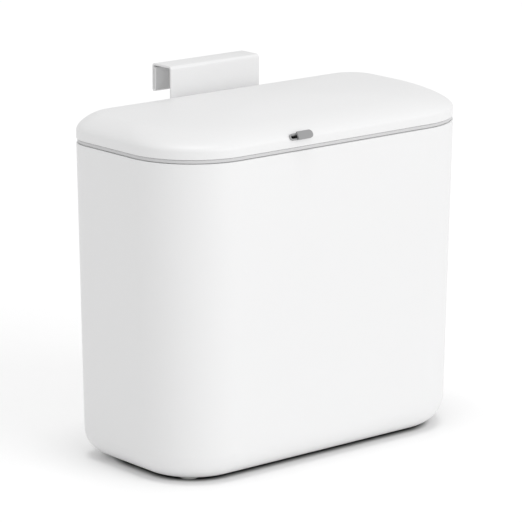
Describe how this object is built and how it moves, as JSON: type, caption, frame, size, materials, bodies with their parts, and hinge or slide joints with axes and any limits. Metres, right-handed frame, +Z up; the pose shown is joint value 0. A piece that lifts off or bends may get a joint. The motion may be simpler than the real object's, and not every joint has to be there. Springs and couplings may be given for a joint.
{
  "type": "door-hung waste caddy",
  "caption": "Round-cornered tapered waste caddy with a rear-hinged pebble lid, sliding lid lock, rim ring and an over-door steel hook.",
  "frame": {"origin": "bottom centre of the whole part's box, on the surface the feet stand on", "axes": "+Z up, +X to the right of a person facing the front, +Y towards the door it hangs on"},
  "size_m": [0.28, 0.1608, 0.2706],
  "materials": {
    "white_shell": "satin moulded polypropylene",
    "ring_grey": "fine satin moulded plastic",
    "lock_grey": "satin moulded plastic",
    "lock_dark": "satin moulded plastic",
    "white_steel": "white powder coat",
    "zinc_steel": "bright zinc plate",
    "soft_rubber": "matte thermoplastic rubber",
    "pad_foam": "closed-cell foam"
  },
  "bodies": {
    "bin": {"bin_body": "white_shell", "door_bumper_1": "soft_rubber", "door_bumper_2": "soft_rubber", "door_hook": "white_steel", "door_pad": "pad_foam", "foot_1": "soft_rubber", "foot_2": "soft_rubber", "foot_3": "soft_rubber", "foot_4": "soft_rubber", "hinge_pin_1": "zinc_steel", "hinge_pin_2": "zinc_steel", "hook_nut_1": "zinc_steel", "hook_nut_2": "zinc_steel", "hook_screw_1": "zinc_steel", "hook_screw_2": "zinc_steel", "hook_washer_1": "zinc_steel", "hook_washer_2": "zinc_steel", "keeper_screw_1": "zinc_steel", "keeper_screw_2": "zinc_steel", "lock_keeper": "zinc_steel", "rim_ring": "ring_grey", "ring_screw_1": "zinc_steel", "ring_screw_2": "zinc_steel", "ring_screw_3": "zinc_steel", "ring_screw_4": "zinc_steel", "ring_screw_5": "zinc_steel", "ring_screw_6": "zinc_steel"},
    "lid": {"lid_gasket": "soft_rubber", "lid_inner_panel": "white_shell", "lid_screw_1": "zinc_steel", "lid_screw_2": "zinc_steel", "lid_screw_3": "zinc_steel", "lid_screw_4": "zinc_steel", "lid_shell": "white_shell", "lock_bezel": "lock_grey"},
    "lock": {"lock_thumb": "lock_grey", "lock_bolt": "lock_dark", "lock_screw": "zinc_steel"}
  },
  "joints": [
    {"name": "lid_hinge", "type": "hinge", "parent": "bin", "child": "lid", "pos_m": [0, 0.04796, 0.2429], "axis": [-1, 0, 0], "range_deg": [0, 85]},
    {"name": "lock_slide", "type": "slide", "parent": "lid", "child": "lock", "axis": [-1, 0, 0], "range_m": [0, 0.006]}
  ]
}
